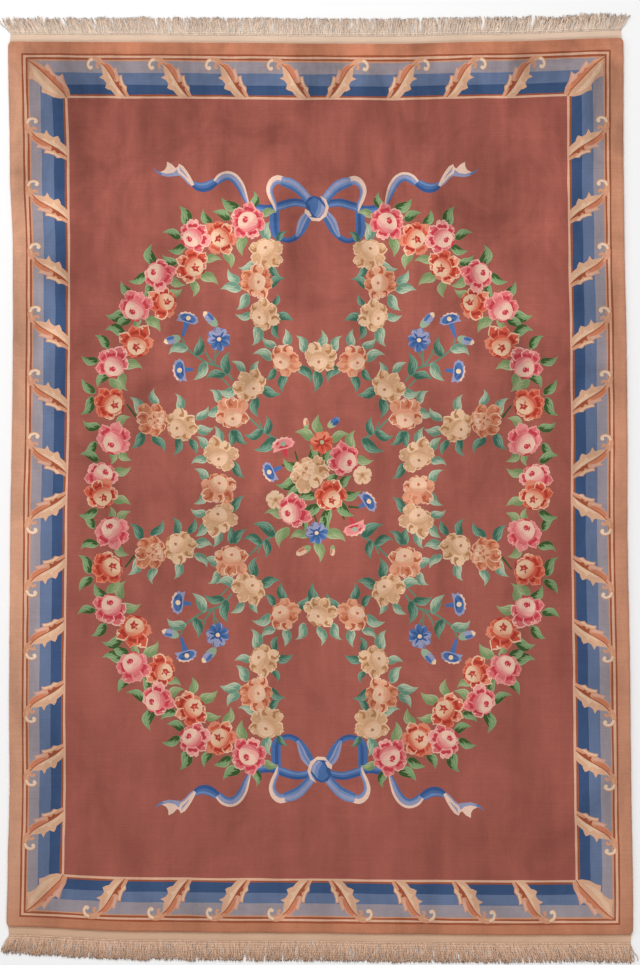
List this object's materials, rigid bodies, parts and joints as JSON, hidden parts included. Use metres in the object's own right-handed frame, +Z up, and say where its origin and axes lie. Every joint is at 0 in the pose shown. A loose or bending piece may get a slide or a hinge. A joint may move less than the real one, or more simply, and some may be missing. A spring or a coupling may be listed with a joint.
{
  "type": "aubusson rug",
  "caption": "Rectangular wool pile rug lying flat, with rose garlands, ribbon bows and a leafy border, and a flat-woven band and knotted fringe at each end.",
  "frame": {"origin": "on the floor, under the middle of the pile carpet", "axes": "+Z up out of the pile, +Y along the length towards the head end, +X across the width to the right"},
  "size_m": [1.8783, 2.8286, 0.014],
  "materials": {
    "pile_wool": "matt cut wool pile, terracotta rose field with many yarn colours",
    "band_cotton": "matt ecru flat weave",
    "fringe_cotton": "matt ecru twisted warp ends"
  },
  "bodies": {
    "root": {"pile_carpet": "pile_wool", "end_band_head": "band_cotton", "end_band_foot": "band_cotton", "fringe_head": "fringe_cotton", "fringe_foot": "fringe_cotton"}
  },
  "joints": []
}
